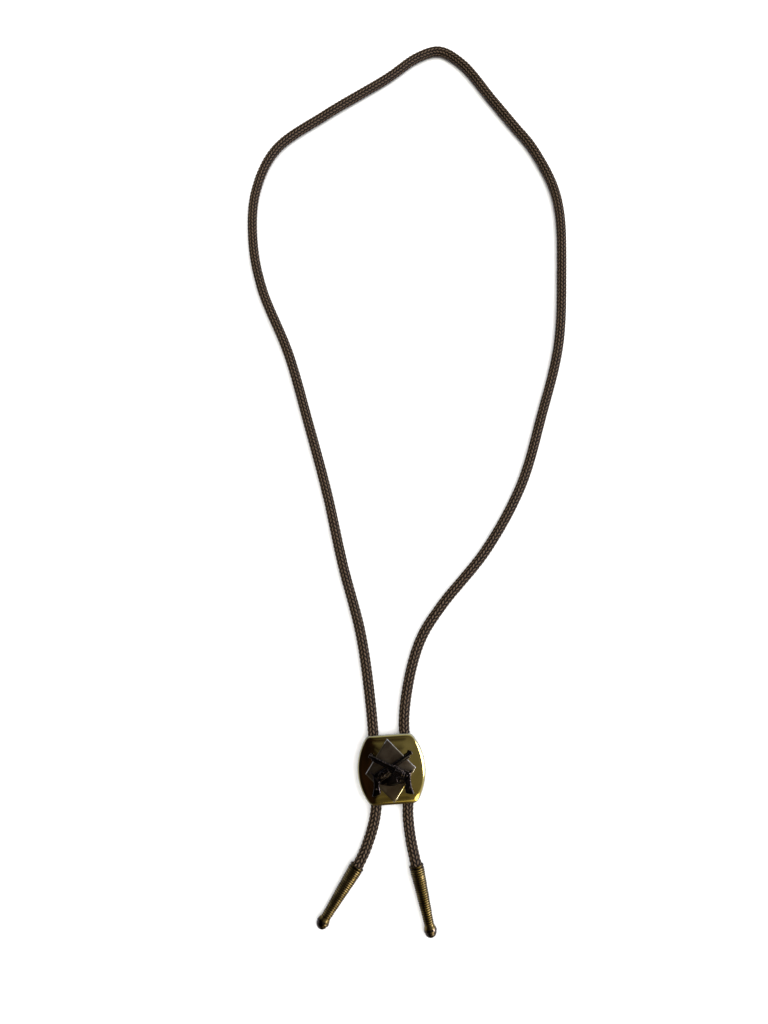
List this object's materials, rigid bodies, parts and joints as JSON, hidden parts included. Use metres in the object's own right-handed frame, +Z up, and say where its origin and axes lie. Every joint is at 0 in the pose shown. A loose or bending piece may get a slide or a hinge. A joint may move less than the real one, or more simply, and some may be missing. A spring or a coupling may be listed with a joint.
{
  "type": "bolo tie",
  "caption": "Bolo tie lying flat: a braided cord with metal tips runs through a domed brass slide with a diamond plate and crossed revolvers.",
  "frame": {"origin": "on the surface that the tie lies on, under the middle of the slide", "axes": "+Z up out of the slide's face, +Y from the slide towards the neck loop, +X to the right of the slide seen from above"},
  "size_m": [0.1599, 0.431, 0.0141],
  "materials": {
    "braid": "matte braided cord",
    "polished_brass": "polished",
    "aged_brass": "aged, half bright",
    "antique_bronze": "antiqued satin",
    "dark_bronze": "oxidised dark"
  },
  "bodies": {
    "root": {"cord": "braid", "tip_left": "aged_brass", "tip_right": "aged_brass", "slide_plate": "polished_brass", "diamond_plate": "antique_bronze", "crossed_pistols": "dark_bronze", "cord_clip": "aged_brass"}
  },
  "joints": []
}
